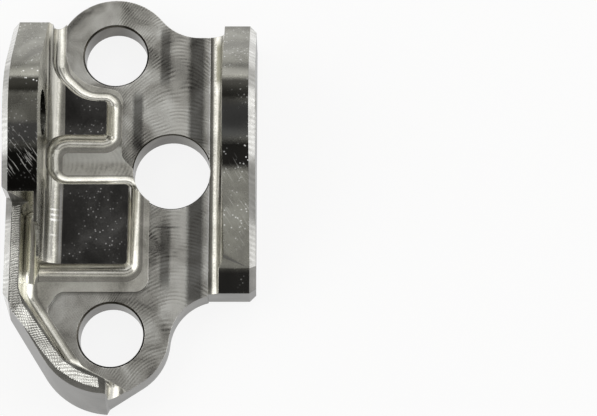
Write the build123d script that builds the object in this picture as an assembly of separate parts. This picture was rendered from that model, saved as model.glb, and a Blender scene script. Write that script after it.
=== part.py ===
from build123d import *
from math import atan2, cos, degrees, radians, sin, sqrt
import os

# A machined mounting block: one solid, milled from one billet of steel.
# The origin is the large bore's centre on the flat back face. +Z points from the back to the ears,
# +Y to the round lug and +X to the plain ear. All sizes are in millimetres.

# Levels above the back face, from the lowest up
WEB = 4.6                 # bolt face, the recessed floor round the bores
RIDGE = 0.12              # step up from the bolt face to the floor beside the plain ear
GROOVE_RISE = 0.7         # groove floor above the bolt face
PAD_RISE = 2.6            # pads above the groove floor
RIM_H = 12.0              # top of the curved rim
GROOVE_Z = WEB + GROOVE_RISE
PAD_Z = GROOVE_Z + PAD_RISE

# Bores through the web
BIG_R = 6.2
SMALL_R = 5.1
TOP_BORE = (-9.4, 19.8)
LOW_BORE = (-9.2, -26.9)
BIG_BREAK = 0.2           # edge break on the large bore
SMALL_BREAK = 0.3         # edge break on the small bores

# Outline of the block, seen from the front
TOP_LUG_WALL = 4.5        # wall round the top bore
LOW_LUG_WALL = 4.1        # wall round the lower bore
CHANNEL = 28.5            # clear width between the ears
WALL_X = 8.5              # inner face of the plain ear
PLAIN_EAR_T = 5.1
DEEP_EAR_T = 5.6
PLAIN_NORTH = 22.9        # end of the plain ear and of the web beside it
DEEP_NORTH = 23.6         # end of the deep ear
SOUTH = -20.4             # lower end of the plain ear
PLAIN_VALLEY_R = 8.0      # concave blend from the top lug to the plain ear
DEEP_VALLEY_R = 2.9       # concave blend from the top lug to the deep ear
LOW_VALLEY_R = 8.0        # concave blend from the lower lug to the plain ear
DEEP_WALL_X = WALL_X - CHANNEL
RIGHT = WALL_X + PLAIN_EAR_T
LEFT = DEEP_WALL_X - DEEP_EAR_T
TOP_LUG_R = SMALL_R + TOP_LUG_WALL
LOW_LUG_R = SMALL_R + LOW_LUG_WALL

# Lower left corner: a straight slant, then one arc down to the tip of the rim
SLANT_START_Y = -23.4
SLANT_END_Y = -33.0
SLANT_RUN = 6.0           # the slant's width
TIP_IN = 0.6              # tip, left of the lower bore's centre
TIP_DROP = 11.9           # and below it
TIP_END_W = 0.4           # the tip's blunt end, across
TIP_END_H = 0.8           # and up
SLANT_TOP = (LEFT, SLANT_START_Y)
SLANT_END = (LEFT + SLANT_RUN, SLANT_END_Y)
TIP = (LOW_BORE[0] - TIP_IN, LOW_BORE[1] - TIP_DROP)
TIP_CORNER = (TIP[0] + TIP_END_W, TIP[1] + TIP_END_H)
OUTER_DRAFT = 4.5         # degrees, on the wall below the slant

# Ears, seen from the side
PIVOT_R = 3.65            # cross bore through both ears
PIVOT_Y = 7.0
PIVOT_Z = 13.6
PIVOT_SINK = 0.8          # countersink at the outer faces
EAR_WALL = 3.85           # wall over the cross bore
EAR_R = PIVOT_R + EAR_WALL
EAR_TOP = PIVOT_Z + EAR_R
EAR_NORTH_RISE = 5.3      # height of an ear's north end above the bolt face
LAND_RISE = 0.8           # low land at the plain ear's south end, above the bolt face
LAND_Y = -16.3            # where the plain ear's slope meets its land
FIN_T = 0.5               # thin wall left between the pocket and the channel
FIN_END = -16.2
FIN_TOP = 16.7            # height where the fin starts to round off
FIN_ROUND = 4.3
EDGE_BEVEL = 1.0          # bevel along the ears' outer edges

# Milled fillets
BALL_R = 2.3              # ball-nose radius round the pads
CHANNEL_R = 3.0           # between the pads and the deep ear
EAR_FOOT_R = 2.5          # at the foot of the plain ear

# Rim and pocket on the deep side
RIM_T = 2.5               # rim's thickness along the straight wall
POCKET_END = -7.3
POCKET_R = 1.2

# Pads, with the slot between them
STRIP_X = DEEP_WALL_X + 0.7    # groove's edge beside the deep ear, north of the pads
UPPER_PAD_X = -10.4
LOWER_PAD_X = -6.65
PAD_SOUTH = -16.2
SLOT_Y = 1.05
SLOT_W = 8.3
SLOT_END_X = DEEP_WALL_X + 0.2
SLOT_CORNER_R = 3.2
PAD_CORNER_R = 0.5

FAR = 60.0                # beyond the block on every side
HIGH = EAR_TOP + 5.0      # above the block


def flat(edges):
    """Face inside closed edges. It looks up, so that faces join whichever way they are drawn."""
    face = make_face(edges).face()
    if face.normal_at().Z < 0:
        face = -face
    return Sketch() + face


def polygon(*points):
    return flat(Polyline(*points, close=True))


def rounded(*corners):
    """Closed face through corners given as (x, y, corner radius)."""
    points = [(x, y) for x, y, r in corners]
    radii = [r for x, y, r in corners]
    return flat(FilletPolyline(*points, radius=radii, close=True))


def prism(face, low, high):
    return Pos(0, 0, low) * extrude(face, high - low)


def block(x_range, y_range, z_range):
    size = [high - low for low, high in (x_range, y_range, z_range)]
    centre = [(low + high) / 2 for low, high in (x_range, y_range, z_range)]
    return Pos(*centre) * Box(*size)


def minor_arc(centre, start, end):
    """The shorter arc about centre from start to end."""
    hub = Vector(*centre)
    spoke = Vector(*start) - hub
    middle = (spoke + Vector(*end) - hub).normalized() * spoke.length
    return ThreePointArc(start, hub + middle, end)


def valley(lug, lug_r, line_y, r, side, up):
    """Concave blend of radius r between a round lug and a straight edge at line_y.

    Returns the arc, its end on the lug and its end on the straight edge.
    """
    centre_y = line_y + up * r
    centre_x = lug[0] + side * sqrt((lug_r + r) ** 2 - (centre_y - lug[1]) ** 2)
    share = lug_r / (lug_r + r)
    on_lug = (lug[0] + share * (centre_x - lug[0]), lug[1] + share * (centre_y - lug[1]))
    on_line = (centre_x, line_y)
    return minor_arc((centre_x, centre_y), on_lug, on_line), on_lug, on_line


def tangent_point(point, centre, r, side):
    """Where a line from point touches a circle. side is +1 or -1."""
    dx = point[0] - centre[0]
    dy = point[1] - centre[1]
    spread = degrees(atan2(sqrt(dx * dx + dy * dy - r * r), r))
    angle = radians(degrees(atan2(dy, dx)) + side * spread)
    return (centre[0] + r * cos(angle), centre[1] + r * sin(angle))


def slant_arc():
    """The slant and the arc of the lower left corner, from the straight wall to the tip."""
    slant = Line(SLANT_TOP, SLANT_END)
    return slant, TangentArc(SLANT_END, TIP, tangent=slant % 1)


def outline():
    """The block's outline from the front, counter-clockwise from the straight left wall."""
    slant, corner_arc = slant_arc()
    low_arc, low_touch, low_foot = valley(LOW_BORE, LOW_LUG_R, SOUTH, LOW_VALLEY_R, 1, -1)
    right_arc, right_touch, right_foot = valley(TOP_BORE, TOP_LUG_R, PLAIN_NORTH, PLAIN_VALLEY_R, 1, 1)
    left_arc, left_touch, left_foot = valley(TOP_BORE, TOP_LUG_R, DEEP_NORTH, DEEP_VALLEY_R, -1, 1)
    tip_touch = tangent_point(TIP_CORNER, LOW_BORE, LOW_LUG_R, 1)
    return flat([
        slant, corner_arc,
        Polyline(TIP, TIP_CORNER, tip_touch),
        minor_arc(LOW_BORE, tip_touch, low_touch), low_arc,
        Polyline(low_foot, (RIGHT, SOUTH), (RIGHT, PLAIN_NORTH), right_foot),
        right_arc, minor_arc(TOP_BORE, right_touch, left_touch), left_arc,
        Polyline(left_foot, (LEFT, DEEP_NORTH), SLANT_TOP)])


def side_face(edges):
    """Face drawn as (Y, Z), stood upright so that it extrudes along X."""
    return Plane.YZ * make_face(edges)


def ear_top(north_y, south_point):
    """Edges over an ear: straight flanks, tangent to the round about the cross bore."""
    pivot = (PIVOT_Y, PIVOT_Z)
    north_point = (north_y, WEB + EAR_NORTH_RISE)
    north_touch = tangent_point(north_point, pivot, EAR_R, 1)
    south_touch = tangent_point(south_point, pivot, EAR_R, -1)
    crest = (PIVOT_Y, EAR_TOP)
    return [Polyline((north_y, 0), north_point, north_touch),
            ThreePointArc(north_touch, crest, south_touch),
            Line(south_touch, south_point)], south_touch


def bevelled(prism_part, face_x, clear_y):
    """Bevel an ear's outer edges, but not at the back face or beyond clear_y."""
    outer = [e for e in prism_part.edges()
             if abs(e.bounding_box().min.X - face_x) < 1e-6
             and abs(e.bounding_box().max.X - face_x) < 1e-6
             and e.center().Z > 0.01 and e.center().Y > clear_y + 0.01]
    return chamfer(outer, EDGE_BEVEL)


def plain_ear():
    """The ear on the right, with the strip of channel floor beside it."""
    land_z = WEB + LAND_RISE
    top, touch = ear_top(PLAIN_NORTH, (LAND_Y, land_z))
    face = side_face(top + [Polyline((LAND_Y, land_z), (SOUTH, land_z), (SOUTH, 0), (PLAIN_NORTH, 0))])
    ear = Pos(WALL_X - EAR_FOOT_R, 0, 0) * extrude(face, RIGHT - WALL_X + EAR_FOOT_R, dir=(1, 0, 0))
    return bevelled(ear, RIGHT, SOUTH - 1)


def deep_ear():
    """The ear on the left. South of the pocket's end its outer part drops to the rim."""
    fin_point = (FIN_END + FIN_ROUND, FIN_TOP)
    top, touch = ear_top(DEEP_NORTH, fin_point)
    share = (touch[0] - POCKET_END) / (touch[0] - fin_point[0])
    pocket_top = (POCKET_END, touch[1] + share * (fin_point[1] - touch[1]))
    outer_face = side_face(top[:2] + [Polyline(
        touch, pocket_top, (POCKET_END, RIM_H), (SLANT_TOP[1], RIM_H), (SLANT_TOP[1], 0), (DEEP_NORTH, 0))])
    outer = Pos(LEFT, 0, 0) * extrude(outer_face, DEEP_EAR_T - FIN_T, dir=(1, 0, 0))
    outer = bevelled(outer, LEFT, SLANT_TOP[1])
    round_end = (FIN_END, FIN_TOP - FIN_ROUND)
    round_off = RadiusArc(fin_point, round_end, FIN_ROUND)
    inner_face = side_face(top + [round_off, Polyline(round_end, (FIN_END, 0), (DEEP_NORTH, 0))])
    inner = Pos(DEEP_WALL_X - FIN_T, 0, 0) * extrude(inner_face, FIN_T + CHANNEL_R, dir=(1, 0, 0))
    channel = block((DEEP_WALL_X, FAR), (-FAR, FAR), (PAD_Z, HIGH))
    foot = [e for e in channel.edges().filter_by(Axis.Y)
            if e.center().X < DEEP_WALL_X + 0.01 and e.center().Z < PAD_Z + 0.01]
    return outer + (inner - fillet(foot, CHANNEL_R))


def rim_inner():
    """Corners of the rim's inner edge, from the straight wall to the tip."""
    return [(LEFT + RIM_T, SLANT_TOP[1] + 1.8, 4.0),
            (SLANT_END[0] + 3.6, SLANT_END[1] + 0.6, 3.0),
            (TIP[0] + 0.6, TIP[1] + 3.2, 0.8),
            (TIP[0] + 0.6, TIP[1] - 6.0, 0)]


def rim():
    """The low rim along the slant, up to the bevelled straight wall."""
    inner = rim_inner()
    region = rounded((LEFT + EDGE_BEVEL, POCKET_END, 0), (LEFT + RIM_T, POCKET_END, 0), *inner,
                     (LEFT - 5, TIP[1] - 6.0, 0), (LEFT - 5, SLANT_TOP[1], 0),
                     (LEFT + EDGE_BEVEL, SLANT_TOP[1], 0))
    return prism(outline(), 0, RIM_H) & prism(region, 0, RIM_H)


def stock():
    """The block before the pockets and bores are cut."""
    between_ears = polygon(
        (DEEP_WALL_X, FAR), (WALL_X - EAR_FOOT_R, FAR), (WALL_X - EAR_FOOT_R, -FAR),
        (LEFT, -FAR), (LEFT, FIN_END), (DEEP_WALL_X, FIN_END))
    body = prism(outline(), 0, PAD_Z) & prism(between_ears, 0, PAD_Z)
    body += plain_ear() + deep_ear() + rim()
    slant, arc = slant_arc()
    along = slant % 0
    start = Vector(*SLANT_TOP) - along * FAR
    end = Vector(*TIP) + (arc % 1) * FAR
    drafted = flat([Line(start, SLANT_END), arc,
                    Polyline(TIP, (end.X, end.Y), (FAR * 2, FAR), (start.X, FAR), (start.X, start.Y))])
    return body & extrude(drafted, HIGH, taper=OUTER_DRAFT)


def groove_cut():
    """Everything milled down to the groove floor, leaving the two pads with filleted feet."""
    slot_low = SLOT_Y - SLOT_W / 2
    slot_high = SLOT_Y + SLOT_W / 2
    region = rounded(
        (2.0, FAR, 0), (STRIP_X, FAR, 0),
        (STRIP_X, 15.6, 5.5), (-14.4, 10.9, 6.0),
        (UPPER_PAD_X, 10.9, PAD_CORNER_R), (UPPER_PAD_X, slot_high, PAD_CORNER_R),
        (SLOT_END_X, slot_high, SLOT_CORNER_R), (SLOT_END_X, slot_low, SLOT_CORNER_R),
        (LOWER_PAD_X, slot_low, PAD_CORNER_R), (LOWER_PAD_X, PAD_SOUTH, PAD_CORNER_R),
        (LEFT + RIM_T, PAD_SOUTH, BALL_R + 0.1),
        *rim_inner(), (2.0, TIP[1] - 6.0, 0))
    cutter = prism(region, GROOVE_Z, HIGH)
    floor_edges = [e for e in cutter.edges()
                   if e.bounding_box().max.Z < GROOVE_Z + 1e-4
                   and e.center().X < 1.9
                   and TIP[1] - 5.0 < e.center().Y < FAR - 1]
    return fillet(floor_edges, BALL_R)


def bolt_face_cut():
    """The slightly lower bolt face, down the right of the web and round the lower bore."""
    region = rounded(
        (WALL_X - EAR_FOOT_R, FAR, 0), (-17.5, FAR, 0),
        (-17.5, 15.2, 6.5), (-8.1, 13.4, 2.0), (-8.1, 2.2, 2.5), (-3.45, -2.5, 2.0),
        (-3.45, -20.1, 2.1), (-17.6, -20.1, 1.8), (-19.5, -23.2, 1.5), (-13.5, -32.1, 2.0),
        (-6.5, -36.0, 1.0), (-6.5, -FAR, 0), (WALL_X - EAR_FOOT_R, -FAR, 0))
    return prism(region, WEB, HIGH)


def ear_foot_cut():
    """Channel floor beside the plain ear, with a fillet at the ear's foot."""
    cutter = block((0.5, WALL_X), (-FAR, FAR), (WEB + RIDGE, HIGH))
    foot = [e for e in cutter.edges().filter_by(Axis.Y)
            if e.center().X > WALL_X - 0.01 and e.center().Z < WEB + RIDGE + 0.01]
    return fillet(foot, EAR_FOOT_R)


def pocket_cut():
    """Narrow round-bottomed pocket behind the rim, open to the groove at its south end."""
    left = LEFT + RIM_T
    right = DEEP_WALL_X - FIN_T
    region = rounded((left, POCKET_END, 1.25), (right, POCKET_END, 0.9),
                     (right, PAD_SOUTH - BALL_R - 0.4, 0), (left, PAD_SOUTH - BALL_R - 0.4, 0))
    cutter = prism(region, GROOVE_Z, HIGH)
    floor_edges = [e for e in cutter.edges()
                   if e.bounding_box().max.Z < GROOVE_Z + 1e-4 and e.center().Y > PAD_SOUTH - BALL_R]
    return fillet(floor_edges, POCKET_R)


def bore_cut(place, r, edge_break, front):
    """A through bore with a broken edge at its front and back rims."""
    hole = Cylinder(r, FAR)
    front_cone = Pos(0, 0, front - edge_break / 2) * Cone(r, r + edge_break, edge_break)
    back_cone = Pos(0, 0, edge_break / 2) * Cone(r + edge_break, r, edge_break)
    return Pos(*place) * (hole + front_cone + back_cone)


def pivot_cut():
    """The cross bore through both ears, countersunk at their outer faces."""
    axis = Plane(origin=(0, PIVOT_Y, PIVOT_Z), x_dir=(0, 1, 0), z_dir=(1, 0, 0))
    hole = Cylinder(PIVOT_R, 2 * FAR)
    hole += Pos(0, 0, RIGHT - PIVOT_SINK / 2) * Cone(PIVOT_R, PIVOT_R + PIVOT_SINK, PIVOT_SINK)
    hole += Pos(0, 0, LEFT + PIVOT_SINK / 2) * Cone(PIVOT_R + PIVOT_SINK, PIVOT_R, PIVOT_SINK)
    return axis * hole


def mounting_block():
    body = stock()
    body -= groove_cut()
    body -= pocket_cut()
    body -= bolt_face_cut()
    body -= ear_foot_cut()
    body -= bore_cut((0, 0), BIG_R, BIG_BREAK, WEB)
    body -= bore_cut(TOP_BORE, SMALL_R, SMALL_BREAK, WEB)
    body -= bore_cut(LOW_BORE, SMALL_R, SMALL_BREAK, WEB)
    body -= pivot_cut()
    return body


os.makedirs("parts", exist_ok=True)
export_step(mounting_block(), "parts/mounting_block.step")
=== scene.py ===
import math
import bmesh
import bpy
from mathutils import Matrix, Vector


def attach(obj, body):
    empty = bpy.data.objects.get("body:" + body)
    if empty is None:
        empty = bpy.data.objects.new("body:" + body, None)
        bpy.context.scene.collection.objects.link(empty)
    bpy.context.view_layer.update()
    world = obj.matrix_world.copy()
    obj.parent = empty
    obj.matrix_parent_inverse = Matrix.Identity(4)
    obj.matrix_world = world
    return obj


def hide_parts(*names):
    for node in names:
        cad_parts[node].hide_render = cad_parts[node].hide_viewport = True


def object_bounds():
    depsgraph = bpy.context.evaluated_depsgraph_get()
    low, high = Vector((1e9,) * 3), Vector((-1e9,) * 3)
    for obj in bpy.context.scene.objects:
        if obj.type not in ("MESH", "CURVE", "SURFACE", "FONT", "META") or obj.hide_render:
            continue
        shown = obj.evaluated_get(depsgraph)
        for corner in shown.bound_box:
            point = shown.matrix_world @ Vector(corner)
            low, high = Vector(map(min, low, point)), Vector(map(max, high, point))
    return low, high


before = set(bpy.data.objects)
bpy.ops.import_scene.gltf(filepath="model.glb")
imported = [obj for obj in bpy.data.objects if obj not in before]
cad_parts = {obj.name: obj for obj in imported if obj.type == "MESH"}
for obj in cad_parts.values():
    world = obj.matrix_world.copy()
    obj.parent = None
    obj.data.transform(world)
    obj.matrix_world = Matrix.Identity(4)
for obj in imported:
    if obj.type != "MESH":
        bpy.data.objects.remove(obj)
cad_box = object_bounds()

MM = 0.001


# ---- Camera ----
# It looks down on the milled front, tipped a little towards the lower end, and the block stands
# left of the middle, with room for its mirrored twin beside it.
LOOK_AT = Vector((20.37, -6.09, 4.6)) * MM
EYE_DISTANCE = 368.0 * MM
EYE_TILT = math.radians(16.5)
VIEW_WIDTH = 95.5 * MM
SENSOR_WIDTH = 36.0       # the lens follows from it and the width in view

camera_data = bpy.data.cameras.new("camera")
camera_data.sensor_width = SENSOR_WIDTH
camera_data.lens = camera_data.sensor_width * EYE_DISTANCE / VIEW_WIDTH
camera_data.clip_start = 10 * MM
camera = bpy.data.objects.new("camera", camera_data)
camera.location = LOOK_AT + EYE_DISTANCE * Vector((0, -math.sin(EYE_TILT), math.cos(EYE_TILT)))
camera.rotation_euler = (EYE_TILT, 0, 0)
bpy.context.scene.collection.objects.link(camera)
bpy.context.scene.camera = camera


# ---- Colours and nodes ----
def colour(text):
    """A linear colour from an sRGB hex value."""
    channels = [int(text[i:i + 2], 16) / 255 for i in (1, 3, 5)]
    linear = [c / 12.92 if c <= 0.04045 else ((c + 0.055) / 1.055) ** 2.4 for c in channels]
    return (*linear, 1.0)


def add_node(tree, kind, links=None, **settings):
    """A node of one kind, with its sockets (by name or number) set or linked."""
    node = tree.nodes.new(kind)
    for name, value in settings.items():
        setattr(node, name, value)
    for key, value in (links or {}).items():
        if isinstance(value, bpy.types.NodeSocket):
            tree.links.new(value, node.inputs[key])
        else:
            node.inputs[key].default_value = value
    return node


# ---- Studio ----
# A white paper table with nothing on it, in a room whose walls are bright and dark bands, because
# plated steel shows little but what it mirrors. Three soft boxes stand round it. Places are in metres.
world = bpy.data.worlds.new("studio")
world.use_nodes = True
bpy.context.scene.world = world
tree = world.node_tree
tree.nodes.clear()
way = add_node(tree, "ShaderNodeTexCoord")
rise = add_node(tree, "ShaderNodeSeparateXYZ", {0: way.outputs["Generated"]})
sky = add_node(tree, "ShaderNodeValToRGB", {0: rise.outputs[2]})
# From straight down (0) past the horizon (0.5) to straight up (1)
SKY = ((0.0, "#FFFFFF"), (0.15, "#FFFFFF"), (0.21, "#6A6966"), (0.33, "#5F5E5A"), (0.39, "#F4F4F0"),
       (0.55, "#FFFFFF"), (0.61, "#83827F"), (0.71, "#8F8E8A"), (0.76, "#EDEDE8"), (0.82, "#D6D6D1"),
       (0.88, "#858482"), (0.97, "#82817F"), (1.0, "#8C8B89"))
for stop, (at, tone) in enumerate(SKY):
    if stop > 1:
        sky.color_ramp.elements.new(at)
    sky.color_ramp.elements[stop].position = at
    sky.color_ramp.elements[stop].color = colour(tone)
room = add_node(tree, "ShaderNodeBackground", {"Color": sky.outputs[0], "Strength": 1.0})
add_node(tree, "ShaderNodeOutputWorld", {"Surface": room.outputs[0]})

bpy.context.scene.view_settings.view_transform = "Standard"

for name, place, size, power in (
        ("left_box", (-0.45, 0.05, 0.30), (0.5, 0.5), 1.0),
        ("right_box", (0.50, 0.05, 0.30), (0.5, 0.5), 1.0),
        ("far_box", (0.0, 0.50, 0.35), (0.7, 0.35), 0.8)):
    lamp_data = bpy.data.lights.new(name, "AREA")
    lamp_data.shape = "RECTANGLE"
    lamp_data.size, lamp_data.size_y = size
    lamp_data.energy = power
    lamp = bpy.data.objects.new(name, lamp_data)
    lamp.location = place
    lamp.rotation_euler = (-Vector(place)).to_track_quat("-Z", "Y").to_euler()
    bpy.context.scene.collection.objects.link(lamp)

floor_data = bpy.data.meshes.new("floor")
REACH = 20.0
DROP = 0.2 * MM           # so that the table doesn't touch the block's back
floor_data.from_pydata([(-REACH, -REACH, 0), (REACH, -REACH, 0), (REACH, REACH, 0), (-REACH, REACH, 0)],
                       [], [(0, 1, 2, 3)])
floor = bpy.data.objects.new("floor", floor_data)
floor_data.transform(Matrix.Translation((0, 0, -DROP)))
bpy.context.scene.collection.objects.link(floor)
# Seamless white paper: to the eye an even white field with only a faint shadow in it.
paper = bpy.data.materials.new("white_paper")
paper.use_nodes = True
tree = paper.node_tree
tree.nodes.clear()
path = add_node(tree, "ShaderNodeLightPath")
matt = add_node(tree, "ShaderNodeBsdfDiffuse", {"Color": colour("#F4F4F4")})
glow = add_node(tree, "ShaderNodeEmission", {"Color": colour("#FFFFFF"), "Strength": 1.0})
GLOW_SHARE = 0.87         # the rest is lit paper, which keeps a soft shadow
straight = add_node(tree, "ShaderNodeMath", {0: path.outputs["Is Camera Ray"],
                    1: path.outputs["Is Glossy Ray"]}, operation="MAXIMUM")
seen = add_node(tree, "ShaderNodeMath", {0: straight.outputs[0], 1: path.outputs["Is Transmission Ray"]},
                operation="MAXIMUM")
share = add_node(tree, "ShaderNodeMath", {0: seen.outputs[0], 1: GLOW_SHARE}, operation="MULTIPLY")
mix = add_node(tree, "ShaderNodeMixShader", {0: share.outputs[0], 1: matt.outputs[0], 2: glow.outputs[0]})
add_node(tree, "ShaderNodeOutputMaterial", {"Surface": mix.outputs[0]})
floor_data.materials.append(paper)


# ---- Block: shape ----
# One block milled from a steel billet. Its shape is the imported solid's, with its doubled points
# joined and its flats kept flat where they run into the fillets.
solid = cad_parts["mounting_block"]
block = bpy.data.objects.new("milled_block", solid.data.copy())
bpy.context.scene.collection.objects.link(block)
MERGE = 0.0005 * MM
SHARP_ANGLE = math.radians(22)
mesh = bmesh.new()
mesh.from_mesh(block.data)
bmesh.ops.remove_doubles(mesh, verts=mesh.verts, dist=MERGE)

# Both ears swell a little at the shoulders, on one broad round over the cross bore. A profile is
# the round's centre height and radius, between a north and a south end point, as (y, z).
PIVOT_Y = 7.0
TIGHT_ROUND = (13.6, 7.5)
BROAD_ROUND = (9.1, 12.0)
EAR_ENDS = (((22.9, 9.9), (-16.3, 5.4)), ((23.6, 9.9), (-11.9, 16.7)))
EAR_INNER_FACES = (8.4, -19.9)
DEEPEST_MOVE = 1.6        # a point further than this from the profile stays where it is
OFF_PROFILE = 0.1         # a point whose nearest place on the profile is past its end stays too
LEAST_RUN = 0.01          # a flank shorter than this has no slope to follow


def touch_point(end, round_z, radius, side):
    """Where the flank from an end point touches the round."""
    dy, dz = end[0] - PIVOT_Y, end[1] - round_z
    reach = math.hypot(dy, dz)
    angle = math.atan2(dz, dy) + side * math.acos(radius / reach)
    return Vector((PIVOT_Y + radius * math.cos(angle), round_z + radius * math.sin(angle)))


def profile_point(ends, ear_round, share):
    """A point and its outward normal. share runs 0-1 on the north flank, 1-2 on the round, 2-3 south."""
    north, south = Vector(ends[0]), Vector(ends[1])
    hub = Vector((PIVOT_Y, ear_round[0]))
    first, last = touch_point(north, *ear_round, 1), touch_point(south, *ear_round, -1)
    if share < 1:
        return north.lerp(first, share), (first - hub).normalized()
    if share > 2:
        return last.lerp(south, share - 2), (last - hub).normalized()
    spoke_a, spoke_b = first - hub, last - hub
    start = math.atan2(spoke_a.y, spoke_a.x)
    stop = math.atan2(spoke_b.y, spoke_b.x)
    angle = start + (stop - start) * (share - 1)
    normal = Vector((math.cos(angle), math.sin(angle)))
    return hub + ear_round[1] * normal, normal


PROFILE_STEPS = 600
for ends, plain in zip(EAR_ENDS, (True, False)):
    shares = [3 * step / PROFILE_STEPS for step in range(PROFILE_STEPS + 1)]
    tight = [profile_point(ends, TIGHT_ROUND, share) for share in shares]
    broad = [profile_point(ends, BROAD_ROUND, share) for share in shares]
    for vert in mesh.verts:
        x, y, z = vert.co / MM
        on_ear = x > EAR_INNER_FACES[0] if plain else x < EAR_INNER_FACES[1]
        if not on_ear or z < ends[1][1] - DEEPEST_MOVE or y > ends[0][0] - LEAST_RUN:
            continue
        here = Vector((y, z))
        nearest = min(range(PROFILE_STEPS + 1), key=lambda step: (tight[step][0] - here).length)
        offset = here - tight[nearest][0]
        depth = offset.dot(tight[nearest][1])
        if abs(depth) > DEEPEST_MOVE or abs(offset.length - abs(depth)) > OFF_PROFILE:
            continue
        target = broad[nearest][0] + depth * broad[nearest][1]
        if shares[nearest] > 2:
            slope = broad[-1][0] - broad[nearest][0]
            if slope.x < -LEAST_RUN:
                target += slope * ((y - target.x) / slope.x)
        vert.co.y, vert.co.z = target.x * MM, target.y * MM

for edge in mesh.edges:
    edge.smooth = len(edge.link_faces) == 2 and edge.calc_face_angle(0) < SHARP_ANGLE
for face in mesh.faces:
    face.smooth = True
mesh.to_mesh(block.data)
mesh.free()
keep_flats = block.modifiers.new("keep_flats", "WEIGHTED_NORMAL")
keep_flats.keep_sharp = True
keep_flats.weight = 100
depsgraph = bpy.context.evaluated_depsgraph_get()
finished = bpy.data.meshes.new_from_object(block.evaluated_get(depsgraph))
block.modifiers.clear()
block.data = finished
block.data.name = "milled_block"

# Levels and edges of the solid, in millimetres
BOLT_FACE_Z = 4.6
GROOVE_Z = 5.3
PAD_Z = 7.9
RIM_Z = 12.0
PLAIN_WALL_X = 8.5
DEEP_WALL_X = -20.0
LEFT_X = cad_box[0][0] / MM
RIGHT_X = cad_box[1][0] / MM
SLANT_Y = -23.0
DRAFTED_Z = 0.11          # more than the normal's rise on the drafted wall below the slant
BEVEL_WIDTH = 1.05
BEVEL_LEAN = (0.4, 0.9)   # a bevel's normal lies between these along x
BORE_MARGIN = 0.45        # a bore's broken edges belong to it
STEEP = 0.8               # a wall's normal rises less than this
LEVEL = 0.999             # a flat's normal rises more than this
LEANING = 0.15            # the edge of an ear rises at least this much
LEVEL_GAP = 0.2           # how far above a floor still counts as that floor
SQUARE = 0.05             # how far a face may be off its level, or its normal off square
EAR_ROUND = 0.6           # how far an ear's edge reaches past its wall
DRAFT_RISE = 0.02         # the normal of a drafted wall or fillet rises more than this
FILLET_TOP = PAD_Z + 3.2  # the fillets of the pocket's wall end here
PAD_EDGES = (-4.0, 12.0)  # the dark lands lie left of the first and south of the second
POCKET = (LEFT_X + 2.2, -7.0)  # behind the rim: right of the first, south of the second
BORES = ((0.0, 0.0, 6.2), (-9.4, 19.8, 5.1), (-9.2, -26.9, 5.1))


def surface_of(centre, normal):
    """The finish that a face belongs to, from where it lies and which way it faces."""
    x, y, z = centre / MM
    by_a_bore = any(abs(math.hypot(x - bx, y - by) - r) < BORE_MARGIN for bx, by, r in BORES)
    if by_a_bore and abs(normal.z) < STEEP:
        return "bore"
    if z < SQUARE:
        return "side"
    if y < SLANT_Y and normal.x < SQUARE and normal.y < 0 and abs(normal.z) < DRAFTED_Z:
        return "side"
    at_outer_edge = x > RIGHT_X - BEVEL_WIDTH or x < LEFT_X + BEVEL_WIDTH
    if BEVEL_LEAN[0] < abs(normal.x) < BEVEL_LEAN[1] and z > GROOVE_Z and at_outer_edge:
        return "bevel"
    profiled = z > GROOVE_Z and abs(normal.x) < SQUARE and normal.z > LEANING
    if profiled and x > PLAIN_WALL_X + SQUARE:
        return "plain_ear"
    if normal.z > LEVEL:
        if z < BOLT_FACE_Z + LEVEL_GAP:
            return "bolt_face"
        if z < GROOVE_Z + LEVEL_GAP:
            return "groove"
        if abs(z - PAD_Z) < SQUARE:
            return "pad" if x < PAD_EDGES[0] and y < PAD_EDGES[1] else "groove"
        if abs(z - RIM_Z) < SQUARE:
            return "rim"
    if profiled and x > PLAIN_WALL_X - EAR_ROUND:
        return "plain_ear"
    if profiled and x < DEEP_WALL_X + EAR_ROUND:
        return "deep_ear"
    if DEEP_WALL_X - SQUARE < x < PLAIN_WALL_X + SQUARE and z < FILLET_TOP and normal.z > DRAFT_RISE:
        return "fillet"
    if z > GROOVE_Z and min(abs(x - PLAIN_WALL_X), abs(x - DEEP_WALL_X)) < SQUARE:
        return "wall"
    if POCKET[0] < x < DEEP_WALL_X and y < POCKET[1]:
        return "fillet"
    return "side"


# ---- Block: finishes ----
# Milled steel with a thin bright nickel plate. The cutters' marks show through the plate: arcs on
# the bolt face, ripples along the grooves, and flat dark lands where it was left smooth.
finishes = {}
# Patterns on the steel, counted per millimetre. The grit is coarser than the real one, so that it shows.
GRIT_PER_MM = 5.0
SPECKS_PER_MM = 1.5
WORN_PER_MM = 0.45
CLOUDS_PER_MM = 0.16
DRIFT_PER_MM = 0.12
WORN_AWAY = (0.38, 0.62)  # of the wear noise: no marks below the first, all of them above the second
SCRATCHES_PER_MM = (4.5, 0.30, 0.0)   # across and along a scratch
WANDER = 3.0              # how far the cutter's marks stray
BLOTCH_SHARE = 0.75
GRIT_SHARE = 0.3
GRIT_HEIGHT = 0.25        # of a mark's depth
DULL_SPAN = (0.3, 0.95)   # the roughness goes from its least to its most over this span of the pattern
STRIPE_FADE = 1.2         # over which a stripe's ends fade
RAGGED = 0.5              # how far the grit frays a stripe's sides
CORE = (0.6, 0.25)        # a stripe is full within this share of its half width, plus this much
SKIRT = (1.25, 0.35)      # and is gone past this
SPECK_EDGE = (0.10, 0.24)       # a speck's bright middle and its rim, as a share of its cell
SPECK_PATCHES = (0.45, 0.62)    # of the clouds: no specks below the first, all above the second
SCRATCH_CUT = (0.60, 0.66)      # only the peaks of the noise above these are drawn
SCRATCH_FADE = 1.0
EDGE_ROUND = 0.12         # edges broken by deburring and plating
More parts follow.
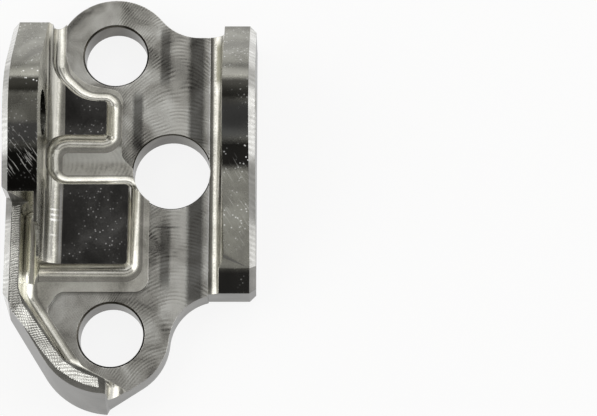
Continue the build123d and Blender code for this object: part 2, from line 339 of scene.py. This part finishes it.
# How the cutter's arcs lie: the axis that they bow across, the bow's centre on it, and its radius
ARC_MARKS = {"face_arcs": (0, 1.5, 7.0), "slot_arcs": (1, 1.05, 3.6)}
STRAIGHT_MARKS = {"across_x": 1, "across_y": 0, "grain": 2}


def cutter_ridges(tree, spot, axes, marks, wavelength):
    """The height of the cutter's marks, 0 to 1, worn away in patches."""
    if marks in ARC_MARKS:
        across, centre, arc_r = ARC_MARKS[marks]
        along = add_node(tree, "ShaderNodeMath", {0: axes.outputs[across], 1: centre}, operation="SUBTRACT")
        bow = add_node(tree, "ShaderNodeMath", {0: along.outputs[0], 1: 2.0}, operation="POWER")
        sweep = add_node(tree, "ShaderNodeMath", {0: bow.outputs[0], 1: 1 / (2 * arc_r),
                         2: axes.outputs[1 - across]}, operation="MULTIPLY_ADD").outputs[0]
    else:
        sweep = axes.outputs[STRAIGHT_MARKS[marks]]
    drift = add_node(tree, "ShaderNodeTexNoise", {"Vector": spot, "Scale": DRIFT_PER_MM, "Detail": 1.0})
    wander = add_node(tree, "ShaderNodeMath", {0: drift.outputs["Fac"], 1: WANDER, 2: sweep},
                      operation="MULTIPLY_ADD")
    turns = add_node(tree, "ShaderNodeMath", {0: wander.outputs[0], 1: 2 * math.pi / wavelength},
                     operation="MULTIPLY")
    wave = add_node(tree, "ShaderNodeMath", {0: turns.outputs[0]}, operation="SINE")
    worn = add_node(tree, "ShaderNodeTexNoise", {"Vector": spot, "Scale": WORN_PER_MM, "Detail": 2.0})
    kept = add_node(tree, "ShaderNodeMapRange", {"Value": worn.outputs["Fac"], "From Min": WORN_AWAY[0],
                    "From Max": WORN_AWAY[1]})
    broken = add_node(tree, "ShaderNodeMath", {0: wave.outputs[0], 1: kept.outputs[0]}, operation="MULTIPLY")
    return add_node(tree, "ShaderNodeMath", {0: broken.outputs[0], 1: 0.5, 2: 0.5}, operation="MULTIPLY_ADD")


def zone(tree, value, low, high, fade, easing):
    """A mask that is 1 from low to high and fades out at each end."""
    rising = add_node(tree, "ShaderNodeMapRange", {"Value": value, "From Min": low - fade,
                      "From Max": low + fade}, interpolation_type=easing)
    falling = add_node(tree, "ShaderNodeMapRange", {"Value": value, "From Min": high - fade,
                       "From Max": high + fade, "To Min": 1.0, "To Max": 0.0}, interpolation_type=easing)
    return add_node(tree, "ShaderNodeMath", {0: rising.outputs[0], 1: falling.outputs[0]},
                    operation="MULTIPLY")


def painted_band_mask(tree, axes, grit, stripe):
    """A soft straight stripe with ragged sides, for painting a highlight, a reflection or a shade into a
    colour: its axis, centre, half width, ends and strength.
    """
    axis, centre, half, low, high, strength = stripe
    off = add_node(tree, "ShaderNodeMath", {0: axes.outputs[axis], 1: centre}, operation="SUBTRACT")
    away = add_node(tree, "ShaderNodeMath", {0: off.outputs[0]}, operation="ABSOLUTE")
    ragged = add_node(tree, "ShaderNodeMath", {0: grit.outputs["Fac"], 1: RAGGED, 2: away.outputs[0]},
                      operation="MULTIPLY_ADD")
    core = add_node(tree, "ShaderNodeMapRange", {"Value": ragged.outputs[0],
                    "From Min": half * CORE[0] + CORE[1], "From Max": half * SKIRT[0] + SKIRT[1],
                    "To Min": strength, "To Max": 0.0}, interpolation_type="SMOOTHSTEP")
    ends = zone(tree, axes.outputs[1 - axis], low, high, STRIPE_FADE, "SMOOTHSTEP")
    return add_node(tree, "ShaderNodeMath", {0: ends.outputs[0], 1: core.outputs[0]}, operation="MULTIPLY")


def speck_mask(tree, spot, cloud, amount):
    """Small bright specks, in patches."""
    cells = add_node(tree, "ShaderNodeTexVoronoi", {"Vector": spot, "Scale": SPECKS_PER_MM})
    dots = add_node(tree, "ShaderNodeMapRange", {"Value": cells.outputs["Distance"],
                    "From Min": SPECK_EDGE[0], "From Max": SPECK_EDGE[1], "To Min": 1.0, "To Max": 0.0})
    patch = add_node(tree, "ShaderNodeMapRange", {"Value": cloud.outputs["Fac"], "From Min": SPECK_PATCHES[0],
                     "From Max": SPECK_PATCHES[1], "To Min": 0.0, "To Max": amount})
    return add_node(tree, "ShaderNodeMath", {0: dots.outputs[0], 1: patch.outputs[0]}, operation="MULTIPLY")


def scratch_mask(tree, spot, axes, scratches):
    """Fine slanting scratches: their angle, where they start and stop along y, and their strength."""
    angle, low, high, amount = scratches
    slanted = add_node(tree, "ShaderNodeMapping", {"Vector": spot, "Rotation": (0, 0, angle)})
    drawn = add_node(tree, "ShaderNodeVectorMath", {0: slanted.outputs[0], 1: SCRATCHES_PER_MM},
                     operation="MULTIPLY")
    streak = add_node(tree, "ShaderNodeTexNoise", {"Vector": drawn.outputs[0], "Scale": 1.0, "Detail": 2.0})
    fine = add_node(tree, "ShaderNodeMapRange", {"Value": streak.outputs["Fac"], "From Min": SCRATCH_CUT[0],
                    "From Max": SCRATCH_CUT[1], "To Min": 0.0, "To Max": amount})
    ends = zone(tree, axes.outputs[1], low, high, SCRATCH_FADE, "LINEAR")
    return add_node(tree, "ShaderNodeMath", {0: ends.outputs[0], 1: fine.outputs[0]}, operation="MULTIPLY")


def steel(name, tones, roughness, marks, wavelength, depth, specks=0.0, painted_bands=(), grime=0.12,
          scratches=None, contrast=(0.35, 0.62, 0.9)):
    """A plated steel finish. tones are its dark, middle and bright hex colours, and contrast says where
    they lie on the pattern, 0 to 1. marks names the cutter's path in ARC_MARKS or STRAIGHT_MARKS, and
    wavelength and depth are that path's, in millimetres."""
    material = bpy.data.materials.new(name)
    material.use_nodes = True
    tree = material.node_tree
    tree.nodes.clear()
    place = add_node(tree, "ShaderNodeTexCoord")
    spot = add_node(tree, "ShaderNodeVectorMath", {0: place.outputs["Object"], 1: (1 / MM,) * 3},
                    operation="MULTIPLY").outputs[0]
    axes = add_node(tree, "ShaderNodeSeparateXYZ", {0: spot})
    ridge = cutter_ridges(tree, spot, axes, marks, wavelength)
    grit = add_node(tree, "ShaderNodeTexNoise", {"Vector": spot, "Scale": GRIT_PER_MM, "Detail": 4.0})
    cloud = add_node(tree, "ShaderNodeTexNoise", {"Vector": spot, "Scale": CLOUDS_PER_MM, "Detail": 3.0,
                                                  "Distortion": 0.6})
    blotch = add_node(tree, "ShaderNodeMath", {0: cloud.outputs["Fac"], 1: BLOTCH_SHARE},
                      operation="MULTIPLY")
    lined = add_node(tree, "ShaderNodeMath", {0: ridge.outputs[0], 1: grime, 2: blotch.outputs[0]},
                     operation="MULTIPLY_ADD")
    gritty = add_node(tree, "ShaderNodeMath", {0: grit.outputs["Fac"], 1: GRIT_SHARE, 2: lined.outputs[0]},
                      operation="MULTIPLY_ADD")
    ramp = add_node(tree, "ShaderNodeValToRGB", {0: gritty.outputs[0]})
    for stop, (at, tone) in enumerate(zip(contrast, tones)):
        if stop == 2:
            ramp.color_ramp.elements.new(at)
        ramp.color_ramp.elements[stop].position = at
        ramp.color_ramp.elements[stop].color = colour(tone)

    # The painted bands lay painted highlights, reflections and shade into the colour.
    overlays = [(painted_band_mask(tree, axes, grit, (*line, strength)), tone) for *line, tone, strength in painted_bands]
    if specks:
        overlays.append((speck_mask(tree, spot, cloud, specks), "#FFFFFF"))
    if scratches:
        overlays.append((scratch_mask(tree, spot, axes, scratches), "#F4F3F0"))
    shown = ramp.outputs[0]
    for mask, tone in overlays:
        blend = add_node(tree, "ShaderNodeMix", {0: mask.outputs[0], 6: shown, 7: colour(tone)},
                         data_type="RGBA")
        shown = blend.outputs[2]

    rough = add_node(tree, "ShaderNodeMapRange", {"Value": gritty.outputs[0], "From Min": DULL_SPAN[0],
                     "From Max": DULL_SPAN[1], "To Min": roughness[0], "To Max": roughness[1]})
    edges = add_node(tree, "ShaderNodeBevel", {"Radius": EDGE_ROUND * MM}, samples=4)
    heights = add_node(tree, "ShaderNodeMath", {0: grit.outputs["Fac"], 1: GRIT_HEIGHT, 2: ridge.outputs[0]},
                       operation="MULTIPLY_ADD")
    bump = add_node(tree, "ShaderNodeBump", {"Height": heights.outputs[0], "Distance": depth * MM,
                    "Strength": 1.0, "Normal": edges.outputs[0]})
    shade = add_node(tree, "ShaderNodeBsdfPrincipled", {"Base Color": shown, "Metallic": 1.0,
                     "Roughness": rough.outputs[0], "Normal": bump.outputs[0]})
    add_node(tree, "ShaderNodeOutputMaterial", {"Surface": shade.outputs[0]})
    return material


# A painted band is a stripe of painted highlight, reflection or shade: its axis (0 x, 1 y), centre, half
# width, two ends on the other axis, tone and strength.
# Face-milled bolt face: swirling bright arcs, with painted reflections along the channel: dark streaks of
# painted shade and bright streaks of painted highlight.
# Painted reflections: dark streaks are painted shade, light ones painted highlight.
CHANNEL_PAINTED_REFLECTIONS = (
    (0, 3.9, 1.3, -22.0, 24.5, "#2C2A28", 0.75),
    (0, 1.2, 1.2, -26.0, 27.0, "#F4F2EC", 0.35),
    (0, -0.9, 0.8, -19.0, -9.0, "#3A3937", 0.6),
    (0, -1.3, 0.8, 15.0, 24.0, "#3A3937", 0.65),
    (0, -5.6, 0.8, 3.5, 13.0, "#323130", 0.7),
    (0, 6.2, 0.5, -19.0, 22.0, "#FFFFFF", 0.45),
    (1, -9.3, 0.12, -2.5, 1.0, "#2E2D2B", 0.6),
    (1, -38.5, 2.2, -8.0, 4.0, "#2E2D2B", 0.6),
)
finishes["bolt_face"] = steel("face_milled_plated_steel", ("#605E5B", "#CCCAC4", "#FFFFFB"), (0.24, 0.40),
                              "face_arcs", 0.62, 0.008, painted_bands=CHANNEL_PAINTED_REFLECTIONS, grime=0.14,
                              contrast=(0.40, 0.57, 0.76))
# Ball-milled groove and slot: a paler, softer floor with small ripples, with a band of painted shade along
# the slot's north side and a band of painted highlight beside it.
GROOVE_PAINTED_SHADE_AND_HIGHLIGHT = (
    (1, 4.6, 0.8, -16.0, -5.0, "#55534B", 0.7),
    (1, 2.6, 1.4, -17.0, -5.0, "#FFFFFA", 0.7),
)
finishes["groove"] = steel("ball_milled_plated_steel", ("#A9A79F", "#E6E4DC", "#FFFFF8"), (0.28, 0.42),
                           "slot_arcs", 0.7, 0.005, grime=0.10, contrast=(0.38, 0.58, 0.8),
                           painted_bands=GROOVE_PAINTED_SHADE_AND_HIGHLIGHT)
# Ball-nose fillets: a bright, smooth line along each foot of a wall, with painted highlight lines and painted
# shade lines laid along them.
FILLET_PAINTED_HIGHLIGHTS_AND_SHADE = (
    (0, -22.5, 0.7, -24.0, -8.5, "#FFFFF6", 0.7),
    (0, 6.2, 0.6, -20.0, 23.0, "#45433F", 0.65),
    (0, 7.5, 0.5, 14.5, 22.0, "#55533C", 0.8),
    (0, 7.3, 0.3, -19.0, 13.0, "#9A9890", 0.5),
    (0, -19.1, 0.9, -16.0, 22.0, "#85847E", 0.75),
    (0, -17.3, 0.12, -15.6, -3.6, "#FFFFFF", 0.8),
    (0, -18.6, 0.16, -15.6, -3.6, "#6B6A66", 0.7),
    (1, -7.4, 0.10, -18.4, -17.4, "#FFFFFF", 0.8),
    (1, -8.3, 0.12, -18.4, -17.4, "#FFFFFF", 0.8),
    (1, -9.1, 0.14, -18.4, -17.4, "#FFFFFF", 0.9),
    (1, -11.6, 0.10, -18.4, -17.4, "#E0E0DC", 0.7),
)
finishes["fillet"] = steel("ball_milled_fillet_steel", ("#A3A199", "#D6D4CC", "#FAF8F0"), (0.15, 0.26),
                           "grain", 0.9, 0.002, painted_bands=FILLET_PAINTED_HIGHLIGHTS_AND_SHADE)
# Lands: smooth and glossy, so they mirror the dark of the room, and that dark reflection is also painted into
# their dark tones; with small bright specks.
finishes["pad"] = steel("smooth_plated_land_painted_dark_reflection", ("#3F3E3D", "#5C5B5A", "#8A8988"), (0.14, 0.32),
                        "grain", 3.0, 0.001, specks=0.9, grime=0.04, contrast=(0.36, 0.58, 0.85))
# Profiled edges of the two ears: smooth, with broad bands of painted light and painted shade where they turn
# over.
PLAIN_EAR_PAINTED_SHADING = (
    (1, 12.0, 1.2, 6.0, 16.0, "#7E7D78", 0.6),
    (1, 8.5, 1.9, 6.0, 16.0, "#33322F", 0.92),
    (1, 3.4, 3.0, 6.0, 16.0, "#57585A", 0.8),
    (1, -1.3, 1.9, 6.0, 16.0, "#171615", 0.96),
    (1, -18.6, 2.3, 6.0, 16.0, "#3C3B3A", 0.95),
)
DEEP_EAR_PAINTED_SHADING = (
    (1, 12.0, 1.2, -28.0, -18.0, "#77766F", 0.6),
    (1, 9.2, 1.4, -28.0, -18.0, "#292824", 0.95),
    (1, 1.6, 1.6, -28.0, -18.0, "#5A5A5C", 0.8),
    (1, -4.2, 4.2, -28.0, -18.0, "#141312", 0.97),
)
SCRATCH_ANGLE = math.radians(-38)
finishes["plain_ear"] = steel("profiled_steel_edge", ("#6D6B66", "#98978F", "#BDBCB6"), (0.22, 0.36),
                              "grain", 4.0, 0.001, specks=0.9, painted_bands=PLAIN_EAR_PAINTED_SHADING, grime=0.03,
                              scratches=(SCRATCH_ANGLE, -14.0, -2.0, 0.25))
finishes["deep_ear"] = steel("profiled_steel_edge_scratched", ("#6D6B66", "#98978F", "#BDBCB6"), (0.22, 0.36),
                             "grain", 4.0, 0.001, specks=0.8, painted_bands=DEEP_EAR_PAINTED_SHADING, grime=0.03,
                             scratches=(SCRATCH_ANGLE, -5.0, 2.0, 0.9))
# Top of the curved rim: even grey, under its scallops.
finishes["rim"] = steel("scalloped_rim_steel", ("#7C7B77", "#A2A19C", "#C2C1BC"), (0.22, 0.34),
                        "grain", 0.9, 0.002)
# Inner walls of the ears: side-milled, fairly bright, with a faint grain.
finishes["wall"] = steel("side_milled_plated_steel", ("#7D7C76", "#A9A8A1", "#CFCEC7"), (0.18, 0.30),
                         "grain", 1.4, 0.003)
# Outer sides and back: satin plating that spreads the light evenly.
finishes["side"] = steel("satin_plated_steel", ("#62615E", "#82817E", "#A09F9C"), (0.28, 0.40),
                         "grain", 1.2, 0.002, grime=0.06)
# Bevelled outer edges of the ears: a thin bright line, crossed by cutter marks, with bands of painted shade
# where the ears turn over.
BEVEL_PAINTED_SHADE = (
    (1, -6.0, 4.5, -28.0, 16.0, "#6A6965", 0.7),
    (1, 10.5, 2.0, -28.0, 16.0, "#8C8B87", 0.5),
)
finishes["bevel"] = steel("bevelled_bright_steel", ("#A3A29E", "#D2D1CD", "#FFFFFC"), (0.14, 0.26),
                          "across_x", 0.8, 0.006, grime=0.2, painted_bands=BEVEL_PAINTED_SHADE)
# Bored holes: dark walls, because they mirror each other, with the shade in the holes also painted into their
# dark tones.
finishes["bore"] = steel("bored_plated_steel_painted_shade", ("#33322D", "#524F49", "#74726B"), (0.18, 0.30),
                         "grain", 0.35, 0.003)

order = list(finishes)
block.data.materials.clear()
for name in order:
    block.data.materials.append(finishes[name])
for face in block.data.polygons:
    face.material_index = order.index(surface_of(face.center, face.normal))
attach(block, "root")
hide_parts("mounting_block")


# ---- Rim: cutter's scallops ----
# Fine ridges across the top of the curved rim, left in the same steel where a small cutter
# stepped along it. Each is real height, under a tenth of a millimetre.
RIM_LINE = (  # RIM_LINE = ( # points on the outer and inner edge of the rim's top, (x, y) each
    ((-24.55, -8.0), (-23.15, -8.0)), ((-24.55, -21.5), (-23.12, -21.2)), ((-24.55, -24.2), (-22.2, -23.9)),
    ((-21.9, -27.6), (-20.2, -26.4)), ((-19.3, -31.2), (-17.6, -30.2)), ((-16.8, -34.1), (-15.75, -32.6)),
    ((-14.4, -35.7), (-13.7, -34.0)), ((-12.4, -36.6), (-11.9, -34.8)), ((-10.6, -37.0), (-10.4, -35.3)))
SCALLOP_PITCH = 0.36
SCALLOP_R = 0.19
SCALLOP_RISE = 0.08
SCALLOP_SLANT = math.radians(24)
SCALLOP_SPAN = 0.92       # of the rim's width
RIDGE_SIDES = 14
# Cutter's ridges: small bright glints, close together. They are coarser than the real ones, to show.
ridge_steel = steel("scalloped_rim_steel_ridges", ("#8D8C87", "#CFCEC9", "#FFFFFA"), (0.12, 0.26),
                    "across_x", 0.42, 0.03, grime=0.3, contrast=(0.45, 0.62, 0.78))

line = bpy.data.meshes.new("rim_scallops")
middles = [((a[0] + b[0]) / 2, (a[1] + b[1]) / 2, RIM_Z + SCALLOP_RISE - SCALLOP_R) for a, b in RIM_LINE]
line.from_pydata([Vector(point) * MM for point in middles],
                 [(step, step + 1) for step in range(len(middles) - 1)], [])
widths = line.attributes.new("rim_width", "FLOAT", "POINT")
widths.data.foreach_set("value", [SCALLOP_SPAN * math.dist(a, b) * MM for a, b in RIM_LINE])
scallops = bpy.data.objects.new("rim_scallops", line)
bpy.context.scene.collection.objects.link(scallops)

tree = bpy.data.node_groups.new("scallops_along_the_rim", "GeometryNodeTree")
tree.interface.new_socket("Geometry", in_out="INPUT", socket_type="NodeSocketGeometry")
tree.interface.new_socket("Geometry", in_out="OUTPUT", socket_type="NodeSocketGeometry")
inputs = {name: tree.interface.new_socket(name, in_out="INPUT", socket_type="NodeSocketFloat")
          for name in ("Pitch", "Ridge radius", "Slant")}
source = add_node(tree, "NodeGroupInput")
curve = add_node(tree, "GeometryNodeMeshToCurve", {"Mesh": source.outputs["Geometry"]})
steps = add_node(tree, "GeometryNodeResampleCurve", {"Curve": curve.outputs[0],
                 "Length": source.outputs["Pitch"]}, mode="LENGTH")
ridge = add_node(tree, "GeometryNodeMeshCylinder", {"Vertices": RIDGE_SIDES,
                 "Radius": source.outputs["Ridge radius"], "Depth": 1.0})
laid = add_node(tree, "GeometryNodeTransform", {"Geometry": ridge.outputs["Mesh"],
                "Rotation": (0, math.pi / 2, 0)})
tangent = add_node(tree, "GeometryNodeInputTangent")
slanted = add_node(tree, "ShaderNodeVectorRotate", {"Vector": tangent.outputs[0], "Axis": (0, 0, 1),
                   "Angle": source.outputs["Slant"]})
turned = add_node(tree, "FunctionNodeAlignRotationToVector", {"Vector": slanted.outputs[0]}, axis="Y")
width = add_node(tree, "GeometryNodeInputNamedAttribute", {"Name": "rim_width"}, data_type="FLOAT")
stretch = add_node(tree, "ShaderNodeCombineXYZ", {"X": width.outputs[0], "Y": 1.0, "Z": 1.0})
set_out = add_node(tree, "GeometryNodeInstanceOnPoints", {"Points": steps.outputs[0],
                   "Instance": laid.outputs[0], "Rotation": turned.outputs[0], "Scale": stretch.outputs[0]})
solid_ridges = add_node(tree, "GeometryNodeRealizeInstances", {"Geometry": set_out.outputs[0]})
coated = add_node(tree, "GeometryNodeSetMaterial", {"Geometry": solid_ridges.outputs[0],
                  "Material": ridge_steel})
add_node(tree, "NodeGroupOutput", {"Geometry": coated.outputs[0]})
maker = scallops.modifiers.new("scallops", "NODES")
maker.node_group = tree
maker[inputs["Pitch"].identifier] = SCALLOP_PITCH * MM
maker[inputs["Ridge radius"].identifier] = SCALLOP_R * MM
maker[inputs["Slant"].identifier] = SCALLOP_SLANT
depsgraph = bpy.context.evaluated_depsgraph_get()
ridges = bpy.data.meshes.new_from_object(scallops.evaluated_get(depsgraph))
scallops.modifiers.clear()
scallops.data = ridges
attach(scallops, "root")
